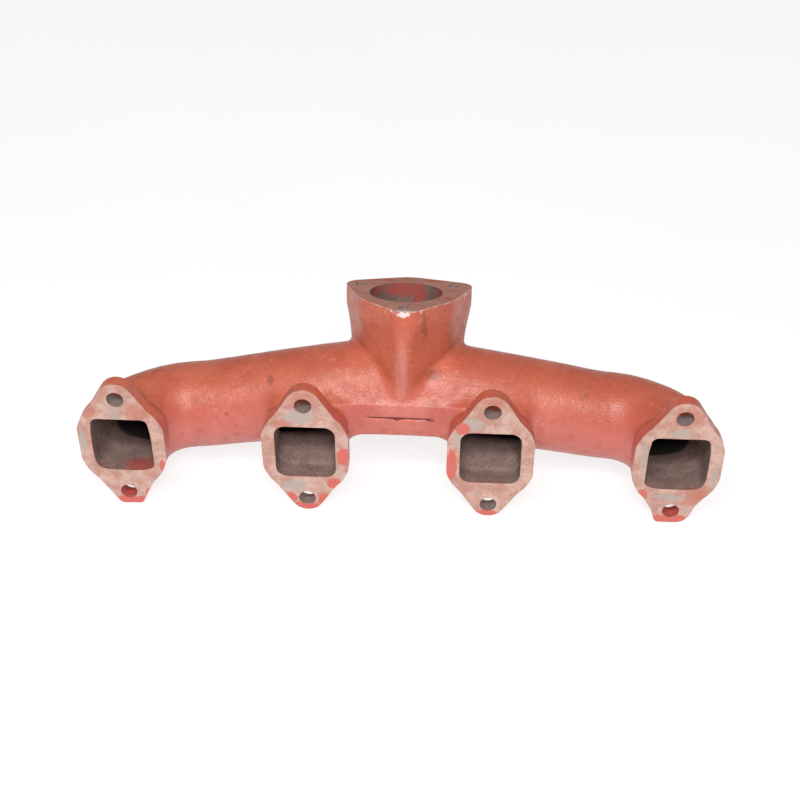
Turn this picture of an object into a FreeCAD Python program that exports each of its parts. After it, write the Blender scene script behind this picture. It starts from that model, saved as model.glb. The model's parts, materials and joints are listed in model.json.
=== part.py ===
import FreeCAD, Part
import math
import os

from FreeCAD import Vector

# Four-port exhaust manifold: one grey-iron casting, divided into its named regions.
# Millimetres. +X runs along the engine, +Y away from the cylinder head, +Z up.
# The origin is the centre of the four inner head-bolt holes, on the machined mounting plane.

# Head-bolt pattern and port flanges
PORT_PITCH = 118.0
PORT_X = [-1.5 * PORT_PITCH, -0.5 * PORT_PITCH, 0.5 * PORT_PITCH, 1.5 * PORT_PITCH]
BOLT_HEIGHT = 37.2
BOLT_HOLE_RADIUS = 5.5
FLANGE_THICKNESS = 11.0
FLANGE_HALF_WIDTH = 27.7
SHOULDER_RADIUS = 10.0

# Port openings and cast walls
WALL = 5.5
PORT_HALF_WIDTH = 19.4
PORT_HALF_HEIGHT = 20.0
PORT_CENTRE_Z = 0.7
PORT_ROUNDNESS = 5.0

# Log: the collecting tube that all four ports feed
LOG_Y = 50.0
LOG_WALL = 5.6
LOG_END_RADIUS = 28.7
LOG_CENTRE_RADIUS = 31.0
LOG_END_X = 134.0
LOG_SLOPE = {-1: math.radians(10.0), 1: math.radians(9.2)}
CREST_HALF_LENGTH = 34.0
CREST_TOP_Z = 20.0
ELBOW_RADIUS = 43.0
ELBOW_SAG = {-1: 1.0, 1: 0.0}

# Outlet: neck that leans away from the engine, with a three-bolt flange
OUTLET_TILT = 16.2
OUTLET_CENTRE = Vector(1.8, 67.4, 80.9)
OUTLET_BORE_RADIUS = 23.4
OUTLET_BORE_DEPTH = 66.0
OUTLET_BOLT_CIRCLE_RADIUS = 35.0
OUTLET_BOLT_ANGLES = [-90.0, 30.0, 150.0]
OUTLET_EAR_RADIUS = 10.8
OUTLET_OUTLINE_SHIFT = 1.2
OUTLET_RIM_RADIUS = 33.8
OUTLET_BACK_RADIUS = 20.0
OUTLET_BACK_OFFSET = 18.0
OUTLET_FLANGE_THICKNESS = 12.0
OUTLET_TAP_RADIUS = 3.4
OUTLET_TAP_DEPTH = 20.0

# Where the casting is divided: planes across the log and one across the neck
COLLECTOR_HALF_LENGTH = 30.0
BRANCH_END_X = 88.0
NECK_FOOT_Z = 19.0
NECK_CUT_Z = 52.0

# Web between the two middle branches and the flash along the mould's parting line
WEB_FRONT_Y = 20.0
WEB_BOTTOM_Z = 4.2
WEB_FILLET_RADIUS = 14.0
WEB_HALF_LENGTH = 34.0
WEB_TOP_Z = 18.0
FLASH_Z = 17.2
FLASH_THICKNESS = 1.2
FLASH_EDGE = [
    (-20.5, 0.3), (-15.0, 1.4), (-7.0, 1.1), (-2.0, 1.6),
    (1.5, 2.4), (5.0, 1.3), (14.0, 1.6), (21.5, 0.3),
]

# Far outside the casting, and the overlap given to a cutting tool at a face it passes through
BIG = 600.0
OVERRUN = 1.0


def rounded_outline(corners, place):
    """Closed wire of tangent arcs and lines, anticlockwise; a corner is (u, v, radius).

    A negative radius is a hollow corner. place turns (u, v) into a point in space."""
    count = len(corners)
    leaving = []
    normals = []
    for index in range(count):
        u0, v0, r0 = corners[index]
        u1, v1, r1 = corners[(index + 1) % count]
        length = math.hypot(u1 - u0, v1 - v0)
        heading = math.atan2(v1 - v0, u1 - u0)
        lean = math.asin((r0 - r1) / length)
        normal = heading - math.pi / 2 + lean
        normals.append(normal)
        leaving.append(
            (
                (u0 + r0 * math.cos(normal), v0 + r0 * math.sin(normal)),
                (u1 + r1 * math.cos(normal), v1 + r1 * math.sin(normal)),
            )
        )
    edges = []
    for index in range(count):
        u, v, radius = corners[index]
        before = normals[index - 1]
        after = normals[index]
        middle_u = math.cos(before) + math.cos(after)
        middle_v = math.sin(before) + math.sin(after)
        size = math.hypot(middle_u, middle_v)
        middle = (u + radius * middle_u / size, v + radius * middle_v / size)
        start = leaving[index - 1][1]
        end = leaving[index][0]
        edges.append(Part.Arc(place(*start), place(*middle), place(*end)).toShape())
        edges.append(Part.LineSegment(place(*end), place(*leaving[index][1])).toShape())
    return Part.Wire(edges)


def section_wire(centre, across, up, half_width, half_height, roundness):
    """Closed smooth wire: a circle or ellipse at roundness 2, squarer as roundness grows."""
    points = []
    count = 24
    for index in range(count):
        angle = 2 * math.pi * (index + 0.5) / count
        cosine = math.cos(angle)
        sine = math.sin(angle)
        u = half_width * math.copysign(abs(cosine) ** (2 / roundness), cosine)
        v = half_height * math.copysign(abs(sine) ** (2 / roundness), sine)
        points.append(centre + across * u + up * v)
    curve = Part.BSplineCurve()
    curve.interpolate(Points=points, PeriodicFlag=True)
    return Part.Wire(curve.toShape())


def prism(wire, direction):
    return Part.Face(wire).extrude(direction)


def cylinder(radius, start, end):
    axis = end - start
    return Part.makeCylinder(radius, axis.Length, start, axis)


def block(x_range, y_range, z_range):
    size = [high - low for low, high in (x_range, y_range, z_range)]
    return Part.makeBox(*size, Vector(x_range[0], y_range[0], z_range[0]))


# ---------------------------------------------------------------- port flanges


def flange_corners(number):
    """Corners of one flange's outline, about its port's centre."""
    side = FLANGE_HALF_WIDTH - SHOULDER_RADIUS
    upper = [(side, 11.5, SHOULDER_RADIUS), (0.0, 37.0, 11.6), (-side, 11.5, SHOULDER_RADIUS)]
    if number in (2, 3):
        return [(-side, -10.5, SHOULDER_RADIUS), (0.0, -36.6, 10.8), (side, -10.5, SHOULDER_RADIUS)] + upper
    if number == 1:
        ear = [(-4.0, -44.0, 3.5), (6.5, -44.2, 3.0)]
        waist = [(18.5, -39.0, -6.0)]
        return [(-side, -9.0, SHOULDER_RADIUS)] + ear + waist + [(side, -9.0, SHOULDER_RADIUS)] + upper
    ear = [(-7.0, -43.8, 3.2), (3.5, -37.2, 9.8)]
    waist = [(-18.5, -39.0, -6.0), (21.0, -35.0, -6.0)]
    return [(-side, -9.0, SHOULDER_RADIUS), waist[0]] + ear + [waist[1], (side, -9.0, SHOULDER_RADIUS)] + upper


def opening_corners(number):
    """Corners of one port opening; the end ports lose their outer lower corner."""
    half = PORT_HALF_WIDTH
    low = PORT_CENTRE_Z - PORT_HALF_HEIGHT
    high = PORT_CENTRE_Z + PORT_HALF_HEIGHT
    if number in (2, 3):
        r = 7.0
        return [
            (-half + r, low + r, r), (half - r, low + r, r),
            (half - r, high - r, r), (-half + r, high - r, r),
        ]
    outer = -1 if number == 1 else 1
    r = 4.5
    corners = [
        (-outer * (half - r), low + r + 1.5, r), (outer * (half - r - 4.0), low + r + 2.5, r),
        (outer * (half - r), 0.0, r), (outer * (half - r - 1.0), high - r + 1.0, r),
        (-outer * (half - r - 1.0), high - r + 1.0, r), (-outer * (half - r), 6.0, r),
    ]
    if outer < 0:
        corners.reverse()
    return corners


def port_prism(corners, x, start, end):
    def place(u, v):
        return Vector(x + u, start, v)

    return prism(rounded_outline(corners, place), Vector(0, end - start, 0))


def bolt_hole(x, z):
    return cylinder(BOLT_HOLE_RADIUS, Vector(x, -OVERRUN, z), Vector(x, FLANGE_THICKNESS + OVERRUN, z))


# ---------------------------------------------------------------- log and branches


CREST_ARCH_RADIUS = 2 * CREST_HALF_LENGTH / (math.sin(LOG_SLOPE[-1]) + math.sin(LOG_SLOPE[1]))


def crest_end_z(side):
    """Height of the crest's centreline where it meets one sloping half of the log."""
    return CREST_TOP_Z - CREST_ARCH_RADIUS * (1 - math.cos(LOG_SLOPE[side]))


def log_height(x):
    """Height of the log's centreline over its straight, sloping halves."""
    side = int(math.copysign(1, x))
    return crest_end_z(side) - (abs(x) - CREST_HALF_LENGTH) * math.tan(LOG_SLOPE[side])


def elbow(side, wall):
    """Quarter bend from an end port to the log, reduced all round by wall."""
    sections = []
    steps = 6
    for step in range(steps + 1):
        share = step / steps
        turn = math.pi / 2 * share
        ease = share * share * (3 - 2 * share)
        growth = 1 - (1 - share) ** 2
        pitch = LOG_SLOPE[side] * ease
        centre = Vector(
            side * (PORT_X[3] - ELBOW_RADIUS * (1 - math.cos(turn))),
            LOG_Y - ELBOW_RADIUS * (1 - math.sin(turn)),
            PORT_CENTRE_Z + (log_height(side * LOG_END_X) - PORT_CENTRE_Z) * ease
            - ELBOW_SAG[side] * math.sin(math.pi * share),
        )
        along = Vector(-side * math.sin(turn) * math.cos(pitch), math.cos(turn) * math.cos(pitch), math.sin(pitch))
        across = along.cross(Vector(0, 0, 1)).normalize()
        up = across.cross(along).normalize()
        port_width = PORT_HALF_WIDTH + WALL
        port_height = PORT_HALF_HEIGHT + WALL
        half_width = port_width + (LOG_END_RADIUS - port_width) * growth - wall
        half_height = port_height + (LOG_END_RADIUS - port_height) * growth - wall
        roundness = 2 + (PORT_ROUNDNESS - 2) * (1 - share) ** 3
        sections.append(section_wire(centre, across, up, half_width, half_height, roundness))
    return Part.makeLoft(sections, True, False)


def log_half(side, wall):
    """Straight sloping half of the log, from the elbow to the crest."""
    end = Vector(side * LOG_END_X, LOG_Y, log_height(side * LOG_END_X))
    crest = Vector(side * CREST_HALF_LENGTH, LOG_Y, crest_end_z(side))
    axis = crest - end
    return Part.makeCone(LOG_END_RADIUS - wall, LOG_CENTRE_RADIUS - wall, axis.Length, end, axis)


def log_crest(wall):
    """Arched middle of the log, tangent to both sloping halves."""
    rise = LOG_SLOPE[-1]
    start = Vector(-CREST_HALF_LENGTH, LOG_Y, crest_end_z(-1))
    arch_centre = start + Vector(math.sin(rise), 0, -math.cos(rise)) * CREST_ARCH_RADIUS
    heading = Vector(math.cos(rise), 0, math.sin(rise))
    circle = Part.Wire(Part.makeCircle(LOG_CENTRE_RADIUS - wall, start, heading))
    turn = math.degrees(rise + LOG_SLOPE[1])
    return Part.Face(circle).revolve(arch_centre, Vector(0, 1, 0), turn)


def branch(x, wall):
    """Short duct from a middle port into the log."""
    sections = []
    stations = [(FLANGE_THICKNESS, 0.0), (24.0, 0.35), (36.0, 0.8), (LOG_Y, 1.0)]
    top_z = log_height(x)
    for y, ease in stations:
        centre = Vector(x, y, PORT_CENTRE_Z + (top_z - PORT_CENTRE_Z) * ease)
        half_width = PORT_HALF_WIDTH + WALL - wall
        half_height = PORT_HALF_HEIGHT + WALL - 3.0 * ease - wall
        roundness = PORT_ROUNDNESS - 2.4 * ease
        sections.append(
            section_wire(centre, Vector(1, 0, 0), Vector(0, 0, 1), half_width, half_height, roundness)
        )
    return Part.makeLoft(sections, True, False)


def centre_web():
    """Flat web between the middle branches, with round fillets down to each branch."""
    half = WEB_HALF_LENGTH
    bottom = WEB_BOTTOM_Z
    fillet = WEB_FILLET_RADIUS
    inner = half - fillet
    diagonal = fillet * (1 - math.sqrt(0.5))

    def at(u, v):
        return Vector(u, WEB_FRONT_Y, v)

    left = Part.Arc(at(-half, bottom - fillet), at(-half + diagonal, bottom - diagonal), at(-inner, bottom))
    right = Part.Arc(at(inner, bottom), at(half - diagonal, bottom - diagonal), at(half, bottom - fillet))
    edges = [
        left.toShape(),
        Part.LineSegment(at(-inner, bottom), at(inner, bottom)).toShape(),
        right.toShape(),
        Part.LineSegment(at(half, bottom - fillet), at(half, WEB_TOP_Z)).toShape(),
        Part.LineSegment(at(half, WEB_TOP_Z), at(-half, WEB_TOP_Z)).toShape(),
        Part.LineSegment(at(-half, WEB_TOP_Z), at(-half, bottom - fillet)).toShape(),
    ]
    return prism(Part.Wire(edges), Vector(0, LOG_Y - WEB_FRONT_Y, 0))


# ---------------------------------------------------------------- outlet

OUTLET_UP = Vector(0, math.sin(math.radians(OUTLET_TILT)), math.cos(math.radians(OUTLET_TILT)))
OUTLET_BACK = Vector(0, math.cos(math.radians(OUTLET_TILT)), -math.sin(math.radians(OUTLET_TILT)))


def outlet_point(u, v, drop=0.0):
    return OUTLET_CENTRE + Vector(u, 0, 0) + OUTLET_BACK * v - OUTLET_UP * drop


def outlet_bolts():
    turns = [math.radians(angle) for angle in OUTLET_BOLT_ANGLES]
    radius = OUTLET_BOLT_CIRCLE_RADIUS
    return [(radius * math.cos(turn), radius * math.sin(turn)) for turn in turns]


def outlet_corners():
    """Rounded triangle: an ear at each bolt, bulged sides and a crown at the back."""
    ears = [(u + OUTLET_OUTLINE_SHIFT, v, OUTLET_EAR_RADIUS) for u, v in outlet_bolts()]
    rim = (OUTLET_OUTLINE_SHIFT, 0.0, OUTLET_RIM_RADIUS)
    crown = (OUTLET_OUTLINE_SHIFT, OUTLET_BACK_OFFSET, OUTLET_BACK_RADIUS)
    return [ears[0], rim, ears[1], crown, ears[2], rim]


def outlet_wire(drop):
    def place(u, v):
        return outlet_point(u, v, drop)

    return rounded_outline(outlet_corners(), place)


def neck_foot_wire():
    """The neck's section level with the log's crest line: smaller, and drawn forward."""
    nose = (0.0, -15.5, 14.5)
    cheek = (0.0, 0.0, 28.0)
    ear = 26.0
    corners = [nose, cheek, (ear, 7.0, 9.5), (0.0, 9.0, 20.0), (-ear, 7.0, 9.5), cheek]

    def place(u, v):
        return Vector(OUTLET_CENTRE.x + OUTLET_OUTLINE_SHIFT + u, LOG_Y + v, NECK_FOOT_Z)

    return rounded_outline(corners, place)


# ---------------------------------------------------------------- regions of the casting


def bore():
    """The outlet's bore, square to the outlet face and open into the log."""
    return cylinder(OUTLET_BORE_RADIUS, outlet_point(0, 0, OUTLET_BORE_DEPTH), outlet_point(0, 0, -OVERRUN))


def port_flange(number):
    x = PORT_X[number - 1]
    plate = port_prism(flange_corners(number), x, 0.0, FLANGE_THICKNESS)
    opening = port_prism(opening_corners(number), x, -OVERRUN, FLANGE_THICKNESS + OVERRUN)
    return plate.cut([opening, bolt_hole(x, BOLT_HEIGHT), bolt_hole(x, -BOLT_HEIGHT)])


def end_elbow(side):
    behind_flange = block((-BIG, BIG), (FLANGE_THICKNESS, BIG), (-BIG, BIG))
    return elbow(side, 0.0).cut(elbow(side, WALL)).common(behind_flange)


def runner(side):
    tube = log_half(side, 0.0).cut(log_half(side, LOG_WALL))
    reach = [side * BRANCH_END_X, side * BIG]
    return tube.common(block(sorted(reach), (0, BIG), (-BIG, BIG)))


def branch_body(side):
    x = side * PORT_PITCH / 2
    slab = block(
        sorted([side * COLLECTOR_HALF_LENGTH, side * BRANCH_END_X]), (0, BIG), (-BIG, NECK_CUT_Z)
    )
    outside = log_middle(0.0).fuse([branch(x, 0.0), centre_web(), neck_outside()]).common(slab)
    return outside.cut([log_middle(LOG_WALL), branch(x, WALL)])


def log_middle(wall):
    return log_crest(wall).fuse([log_half(-1, wall), log_half(1, wall)])


def neck_outside():
    return Part.makeLoft([outlet_wire(OUTLET_FLANGE_THICKNESS), neck_foot_wire()], True, True)


def collector_outside():
    half = COLLECTOR_HALF_LENGTH
    slab = block((-half, half), (0, BIG), (-BIG, NECK_CUT_Z))
    return log_middle(0.0).fuse([centre_web(), neck_outside()]).common(slab)


def collector():
    return collector_outside().cut([log_middle(LOG_WALL), bore()])


def outlet_neck():
    above = block((-BIG, BIG), (-BIG, BIG), (NECK_CUT_Z, BIG))
    return neck_outside().common(above).cut([bore()] + outlet_taps())


def outlet_taps():
    taps = []
    for u, v in outlet_bolts():
        bottom = outlet_point(u, v, OUTLET_TAP_DEPTH)
        taps.append(cylinder(OUTLET_TAP_RADIUS, bottom, outlet_point(u, v, -OVERRUN)))
    return taps


def outlet_flange():
    plate = prism(outlet_wire(OUTLET_FLANGE_THICKNESS), OUTLET_UP * OUTLET_FLANGE_THICKNESS)
    return plate.cut([bore()] + outlet_taps())


def parting_flash():
    """Thin ragged fin left along the parting line, across the front of the collector."""
    low = FLASH_Z - FLASH_THICKNESS / 2
    front = LOG_Y - LOG_CENTRE_RADIUS
    points = [Vector(x, front - proud, low) for x, proud in FLASH_EDGE]
    points = [Vector(points[0].x, LOG_Y, low)] + points + [Vector(points[-1].x, LOG_Y, low)]
    fin = prism(Part.makePolygon(points + points[:1]), Vector(0, 0, FLASH_THICKNESS))
    return fin.cut(collector_outside())


def main():
    os.makedirs("parts", exist_ok=True)
    nodes = {
        "end_elbow_1": end_elbow(-1),
        "end_elbow_4": end_elbow(1),
        "runner_1_2": runner(-1),
        "runner_3_4": runner(1),
        "branch_2": branch_body(-1),
        "branch_3": branch_body(1),
        "collector": collector(),
        "outlet_neck": outlet_neck(),
        "outlet_flange": outlet_flange(),
        "parting_flash": parting_flash(),
    }
    for number in (1, 2, 3, 4):
        nodes["port_flange_" + str(number)] = port_flange(number)
    for name, shape in nodes.items():
        print(name, shape.isValid(), len(shape.Solids), round(shape.Volume), shape.ShapeType)
        shape.exportStep("parts/" + name + ".step")


main()
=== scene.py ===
import json
import math

import bmesh
import bpy
import numpy as np
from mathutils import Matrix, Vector


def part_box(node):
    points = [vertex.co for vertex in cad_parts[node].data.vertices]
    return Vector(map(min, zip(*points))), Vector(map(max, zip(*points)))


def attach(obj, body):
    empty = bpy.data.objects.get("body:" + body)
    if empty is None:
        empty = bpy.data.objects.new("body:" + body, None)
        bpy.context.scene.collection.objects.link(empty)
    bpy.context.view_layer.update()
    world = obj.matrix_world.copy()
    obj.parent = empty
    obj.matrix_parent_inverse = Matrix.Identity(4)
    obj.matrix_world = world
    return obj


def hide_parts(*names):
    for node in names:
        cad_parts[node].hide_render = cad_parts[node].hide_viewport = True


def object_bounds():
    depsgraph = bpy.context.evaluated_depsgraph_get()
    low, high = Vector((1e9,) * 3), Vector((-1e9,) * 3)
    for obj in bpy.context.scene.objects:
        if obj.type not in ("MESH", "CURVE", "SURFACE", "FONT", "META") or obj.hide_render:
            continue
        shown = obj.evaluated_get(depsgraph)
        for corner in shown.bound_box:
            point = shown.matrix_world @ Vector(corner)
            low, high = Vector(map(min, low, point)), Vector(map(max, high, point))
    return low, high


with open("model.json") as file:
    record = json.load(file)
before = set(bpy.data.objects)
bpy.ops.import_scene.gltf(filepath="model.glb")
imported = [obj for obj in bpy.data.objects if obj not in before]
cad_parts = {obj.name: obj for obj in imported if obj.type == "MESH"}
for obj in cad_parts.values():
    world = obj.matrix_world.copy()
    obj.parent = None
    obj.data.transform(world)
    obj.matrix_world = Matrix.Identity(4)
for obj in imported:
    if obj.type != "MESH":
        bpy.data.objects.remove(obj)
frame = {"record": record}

CAD_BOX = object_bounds()

# Millimetres throughout, turned into metres when each mesh is made. +X runs along the engine,
# +Y away from the cylinder head and +Z up; the machined mounting plane is y = 0.

MOUNTS = {mount["name"]: mount for mount in frame["record"]["mounts"]}
INNER = MOUNTS["inner_head_bolts"]["dims"]
OUTER = MOUNTS["outer_head_bolts"]["dims"]
STUDS = MOUNTS["outlet_studs"]["dims"]

PORT_PITCH = INNER["spacing_x_mm"]
END_PORT_X = OUTER["spacing_x_mm"] / 2
MIDDLE_PORT_X = PORT_PITCH / 2
PORT_X = [-END_PORT_X, -MIDDLE_PORT_X, MIDDLE_PORT_X, END_PORT_X]
BOLT_HEIGHT = INNER["spacing_y_mm"] / 2
BOLT_HOLE_RADIUS = INNER["hole_r_mm"]
OUTLET_CENTRE = np.array(MOUNTS["outlet_studs"]["pos_m"]) * 1000
OUTLET_UP = np.array(MOUNTS["outlet_studs"]["axis"])
OUTLET_BACK = np.array([0.0, OUTLET_UP[2], -OUTLET_UP[1]])
OUTLET_TILT = math.atan2(OUTLET_UP[1], OUTLET_UP[2])
OUTLET_BORE_RADIUS = MOUNTS["outlet_bore"]["dims"]["r_mm"]
STUD_CIRCLE_RADIUS = STUDS["pcd_mm"] / 2
TAP_RADIUS = STUDS["hole_r_mm"]
TAP_DEPTH = 20.0

FLANGE_THICKNESS = 11.0
FLANGE_HALF_WIDTH = 27.7
SHOULDER_RADIUS = 10.0
WALL = 5.5
PORT_HALF_WIDTH = 19.4
PORT_HALF_HEIGHT = 20.0
PORT_CENTRE_Z = 0.7
LOG_Y = 50.0
LOG_WALL = 5.6
LOG_END_X = 134.0
LOG_END_RADIUS = 28.7
LOG_CENTRE_RADIUS = 31.0
CREST_HALF_LENGTH = 34.0
LOG_TOP_Z = 20.0
LOG_SLOPES = {-1: 0.188, 1: 0.171}
LOG_ARCH = 25.0
MEAN_LOG_SLOPE = 0.176
DUCT_HALF_WIDTH = PORT_HALF_WIDTH + WALL
DUCT_HALF_HEIGHT = PORT_HALF_HEIGHT + WALL
BRANCH_PINCH = 3.0
ELBOW_RADIUS = 43.0
ELBOW_CENTRE_Y = LOG_Y - ELBOW_RADIUS
ELBOW_SAG = {-1: 1.0, 1: 0.0}
ELBOW_RUN = ELBOW_RADIUS * math.pi / 2
OUTLET_FLANGE_THICKNESS = 12.0
OUTLET_SHIFT = 1.2
NECK_FOOT_Z = 19.0
NECK_LEAN = 0.97
WEB_HALF_LENGTH = 38.0
WEB_FRONT_Y = 20.0
WEB_LOW_Z = 4.2
WEB_HIGH_Z = 24.0

# Powers of the superellipses: 2 is round, and higher ones have squarer corners
ROUND_POWER = 2.0
BRANCH_POWER = 2.6
PORT_POWER = 5.0

# How far each shape's blend with the rest of the casting reaches
BRANCH_FILLET = 8.0
BRANCH_INNER_FILLET = 6.0
WEB_FILLET = 13.0
NECK_FILLET = 3.5
FLANGE_FILLET = 5.0
BORE_FILLET = 8.0
FLANGE_EDGE_RADIUS = 2.0

# The torn fin on the parting line, with a lip above it and a groove below
FIN_CENTRE_X = 0.8
FIN_HALF_LENGTH = 22.0
LIP_LOW_Z = 18.2
LIP_HIGH_Z = 27.0
LIP_HEIGHT = 1.0
GROOVE_Z = 16.9
GROOVE_DEPTH = 1.5

# Planes that divide the casting into its named regions
NECK_CUT_Z = 52.0
FLANGE_CUT_Y = FLANGE_THICKNESS + 1.8
COLLECTOR_HALF_LENGTH = 30.0
BRANCH_END_X = 88.0
FLANGE_CUT_X = (MIDDLE_PORT_X + END_PORT_X) / 2

# Grid on which the casting's surface is found, and the corners of one of its cells
CELL = 1.15
GRID_LOW = np.array([-207.0, -4.0, -50.0])
GRID_HIGH = np.array([207.0, 108.0, 98.0])
CORNERS = [(a, b, c) for a in (0, 1) for b in (0, 1) for c in (0, 1)]


# ------------------------ flat outlines


def rounded_outline(corners, arc_steps=9):
    """Points round a closed outline of tangent arcs and lines. A corner is (u, v, radius)."""
    count = len(corners)
    normals = []
    for index in range(count):
        u0, v0, r0 = corners[index]
        u1, v1, r1 = corners[(index + 1) % count]
        length = math.hypot(u1 - u0, v1 - v0)
        heading = math.atan2(v1 - v0, u1 - u0)
        normals.append(heading - math.pi / 2 + math.asin((r0 - r1) / length))
    points = []
    for index in range(count):
        u, v, radius = corners[index]
        start = normals[index - 1]
        sweep = (normals[index] - start + math.pi) % (2 * math.pi) - math.pi
        for step in range(arc_steps + 1):
            angle = start + sweep * step / arc_steps
            points.append((u + radius * math.cos(angle), v + radius * math.sin(angle)))
    return np.array(points)


def outline_distance(points, u, v):
    """Signed distance from (u, v) to a closed outline, negative inside."""
    nearest = np.full(np.broadcast(u, v).shape, 1e9, np.float32)
    inside = np.zeros(nearest.shape, bool)
    for index in range(len(points)):
        u0, v0 = points[index - 1]
        u1, v1 = points[index]
        du = u1 - u0
        dv = v1 - v0
        size = du * du + dv * dv
        if size < 1e-9:
            continue
        share = np.clip(((u - u0) * du + (v - v0) * dv) / size, 0, 1)
        nearest = np.minimum(nearest, (u - u0 - share * du) ** 2 + (v - v0 - share * dv) ** 2)
        crosses = (v0 > v) != (v1 > v)
        if abs(dv) > 1e-9:
            inside ^= crosses & (u < u0 + (v - v0) * du / dv)
    distance = np.sqrt(nearest)
    return np.where(inside, -distance, distance).astype(np.float32)


def flange_corners(number):
    side = FLANGE_HALF_WIDTH - SHOULDER_RADIUS
    r = SHOULDER_RADIUS
    upper = [(side, 11.5, r), (0.0, 37.0, 11.6), (-side, 11.5, r)]
    if number in (2, 3):
        return [(-side, -10.5, r), (0.0, -36.6, 10.8), (side, -10.5, r)] + upper
    if number == 1:
        ear = [(-4.0, -44.0, 3.5), (6.5, -44.2, 3.0), (18.5, -39.0, -6.0)]
    else:
        ear = [(-18.5, -39.0, -6.0), (-7.0, -43.8, 3.2), (3.5, -37.2, 9.8), (21.0, -35.0, -6.0)]
    return [(-side, -9.0, r)] + ear + [(side, -9.0, r)] + upper


def opening_corners(number):
    """The end ports lose their outer lower corner."""
    half = PORT_HALF_WIDTH
    low = PORT_CENTRE_Z - PORT_HALF_HEIGHT
    high = PORT_CENTRE_Z + PORT_HALF_HEIGHT
    if number in (2, 3):
        r = 7.0
        return [
            (-half + r, low + r, r), (half - r, low + r, r),
            (half - r, high - r, r), (-half + r, high - r, r),
        ]
    outer = -1 if number == 1 else 1
    r = 4.5
    corners = [
        (-outer * (half - r), low + r + 1.5, r), (outer * (half - r - 4.0), low + r + 2.5, r),
        (outer * (half - r), 0.0, r), (outer * (half - r - 1.0), high - r + 1.0, r),
        (-outer * (half - r - 1.0), high - r + 1.0, r), (-outer * (half - r), 6.0, r),
    ]
    if outer < 0:
        corners.reverse()
    return corners


def stud_places():
    turns = [math.radians(angle) for angle in (-90, 30, 150)]
    radius = STUD_CIRCLE_RADIUS
    return [(radius * math.cos(turn), radius * math.sin(turn)) for turn in turns]


def outlet_corners():
    ears = [(u + OUTLET_SHIFT, v, 10.8) for u, v in stud_places()]
    rim = (OUTLET_SHIFT, 0.0, 33.8)
    crown = (OUTLET_SHIFT, 18.0, 20.0)
    return [ears[0], rim, ears[1], crown, ears[2], rim]


def neck_foot_corners():
    nose = (OUTLET_SHIFT, -17.5, 12.5)
    cheek = (OUTLET_SHIFT, 2.0, 25.5)
    right = (OUTLET_SHIFT + 26.0, 7.0, 9.5)
    left = (OUTLET_SHIFT - 26.0, 7.0, 9.5)
    return [nose, cheek, right, (OUTLET_SHIFT, 9.0, 20.0), left, cheek]


# ------------------------ solid fields, negative inside


def blend_union(first, second, reach):
    """Either of two shapes, with a fillet where they meet."""
    overlap = np.maximum(reach - np.abs(first - second), 0) / reach
    return np.minimum(first, second) - overlap * overlap * (reach / 4)


def round_both(first, second, radius):
    """Both at once, with the edge between them rounded."""
    a = first + radius
    b = second + radius
    return np.hypot(np.maximum(a, 0), np.maximum(b, 0)) + np.minimum(np.maximum(a, b), 0) - radius


def superellipse(u, v, half_w, half_h, power):
    ratio = np.maximum((np.abs(u / half_w) ** power + np.abs(v / half_h) ** power) ** (1 / power), 1e-3)
    return np.hypot(u, v) * (1 - 1 / ratio)


def log_centre(x, side):
    return LOG_TOP_Z - LOG_SLOPES[side] * (np.sqrt(x * x + LOG_ARCH * LOG_ARCH) - LOG_ARCH)


def centre_height(run, side):
    """Height of the tube's centreline at a distance along it from the end port, smoothed."""
    table = np.arange(0.0, ELBOW_RUN + LOG_END_X + 1, 1.0)
    share = np.clip(table / ELBOW_RUN, 0, 1)
    ease = share * share * (3 - 2 * share)
    end_z = log_centre(LOG_END_X, side)
    bend = PORT_CENTRE_Z + (end_z - PORT_CENTRE_Z) * ease - ELBOW_SAG[side] * np.sin(math.pi * share)
    straight = log_centre(np.clip(LOG_END_X + ELBOW_RUN - table, 0, LOG_END_X), side)
    height = np.where(table < ELBOW_RUN, bend, straight)
    reach = 12
    weights = np.exp(-0.5 * (np.arange(-reach, reach + 1) / 5.0) ** 2)
    padded = np.pad(height, reach, mode="edge")
    smooth = np.convolve(padded, weights / weights.sum(), mode="valid")
    return np.interp(run, table, smooth)


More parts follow.
